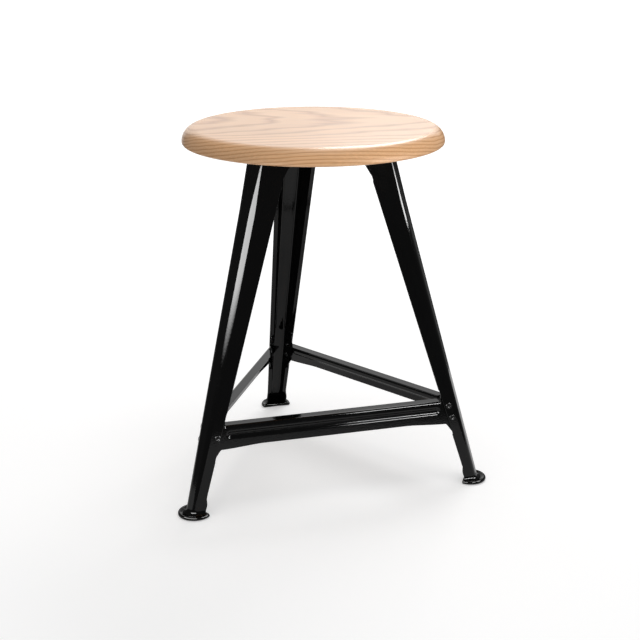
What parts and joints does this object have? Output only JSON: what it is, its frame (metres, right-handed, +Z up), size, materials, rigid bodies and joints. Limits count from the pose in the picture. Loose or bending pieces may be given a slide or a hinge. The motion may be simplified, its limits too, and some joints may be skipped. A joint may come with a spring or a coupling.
{
  "type": "workshop stool",
  "caption": "Low workshop stool: round wooden seat on splayed legs of pressed sheet steel with flanged feet, tied by riveted stretchers.",
  "frame": {"origin": "on the floor under the middle of the seat", "axes": "+Z up; +Y towards the rear leg; the front-left leg at -150 degrees and the front-right leg at -30 degrees"},
  "size_m": [0.4512, 0.4365, 0.504],
  "materials": {
    "seat_wood": "clear satin lacquer on pale ash",
    "black_enamel": "glossy black enamel",
    "rivet_enamel": "glossy black enamel over rivet heads",
    "screw_steel": "bright zinc"
  },
  "bodies": {
    "root": {"seat": "seat_wood", "leg_front_left": "black_enamel", "leg_front_right": "black_enamel", "leg_rear": "black_enamel", "stretcher_front": "black_enamel", "seat_brace_front": "black_enamel", "stretcher_rivet_front_1": "rivet_enamel", "stretcher_rivet_front_2": "rivet_enamel", "stretcher_rivet_front_3": "rivet_enamel", "brace_rivet_front_1": "rivet_enamel", "brace_rivet_front_2": "rivet_enamel", "brace_rivet_front_3": "rivet_enamel", "seat_screw_front_1": "screw_steel", "seat_screw_front_2": "screw_steel", "stretcher_right": "black_enamel", "seat_brace_right": "black_enamel", "stretcher_rivet_right_1": "rivet_enamel", "stretcher_rivet_right_2": "rivet_enamel", "stretcher_rivet_right_3": "rivet_enamel", "brace_rivet_right_1": "rivet_enamel", "brace_rivet_right_2": "rivet_enamel", "brace_rivet_right_3": "rivet_enamel", "seat_screw_right_1": "screw_steel", "seat_screw_right_2": "screw_steel", "stretcher_left": "black_enamel", "seat_brace_left": "black_enamel", "stretcher_rivet_left_1": "rivet_enamel", "stretcher_rivet_left_2": "rivet_enamel", "stretcher_rivet_left_3": "rivet_enamel", "brace_rivet_left_1": "rivet_enamel", "brace_rivet_left_2": "rivet_enamel", "brace_rivet_left_3": "rivet_enamel", "seat_screw_left_1": "screw_steel", "seat_screw_left_2": "screw_steel"}
  },
  "joints": []
}
